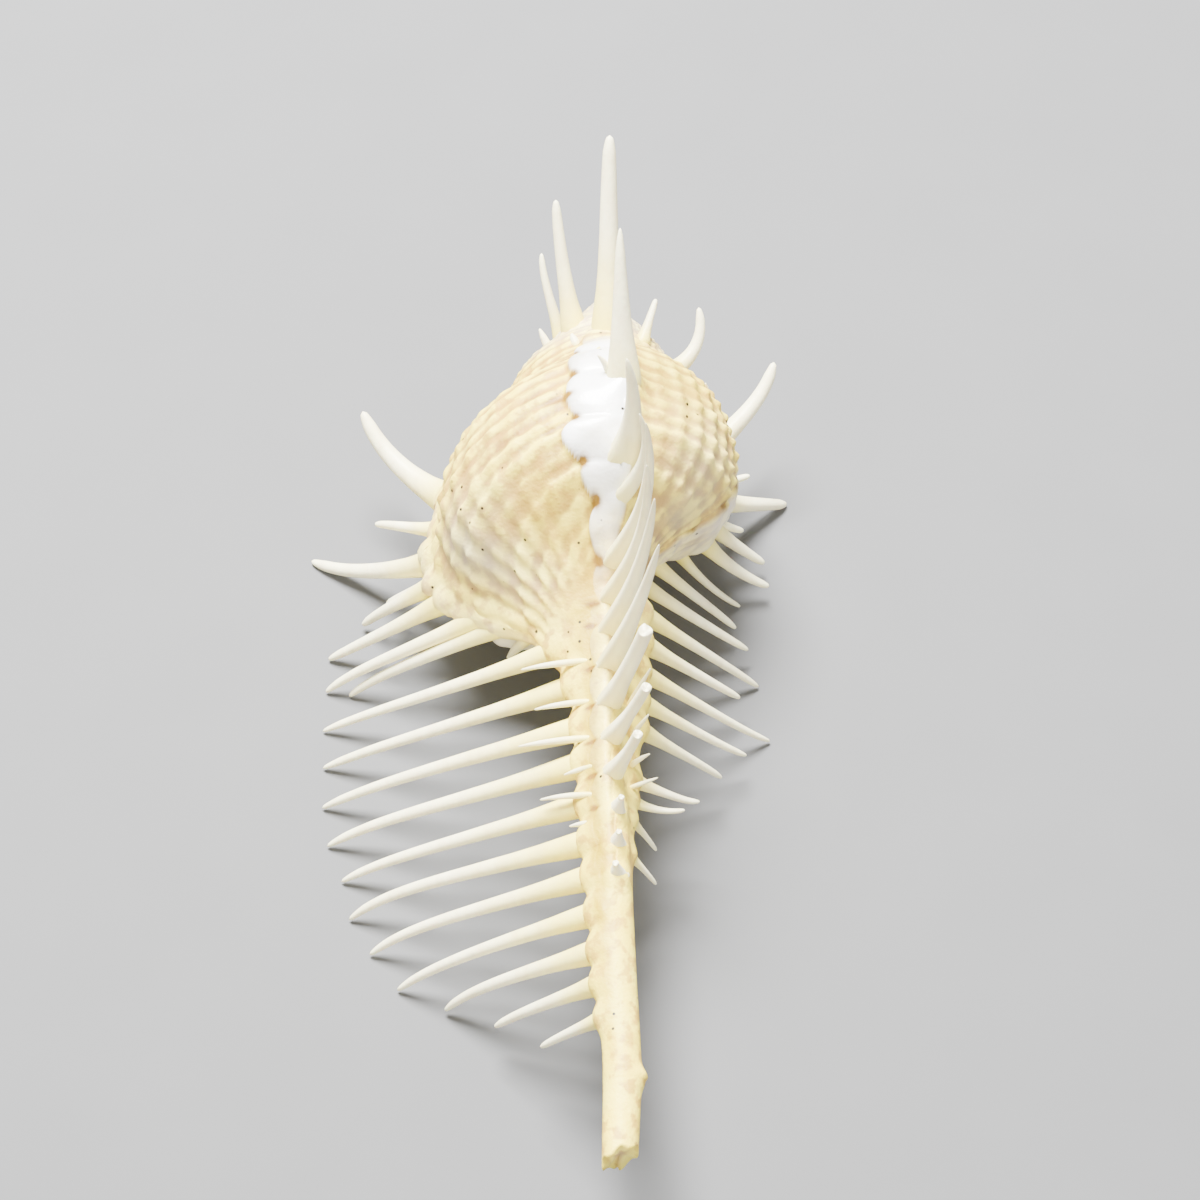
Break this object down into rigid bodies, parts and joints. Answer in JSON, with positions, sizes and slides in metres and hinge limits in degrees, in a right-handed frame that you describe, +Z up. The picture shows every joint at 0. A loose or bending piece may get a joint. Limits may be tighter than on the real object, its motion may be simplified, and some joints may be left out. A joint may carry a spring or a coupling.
{
  "type": "murex shell",
  "caption": "Spiny murex shell with a coiled body, short spire, long straight canal and rows of long curved spines, lying mouth down.",
  "frame": {"origin": "middle of the bounding box in X and Y, on the ground the spine tips rest on", "axes": "+Y towards the spire, -Y towards the end of the canal, +Z up, mouth facing down, outer lip on the -X side"},
  "size_m": [0.0626, 0.1238, 0.054],
  "materials": {
    "shell": "semi-gloss natural shell, cream with tan and white"
  },
  "bodies": {
    "root": {"murex_shell": "shell"}
  },
  "joints": []
}
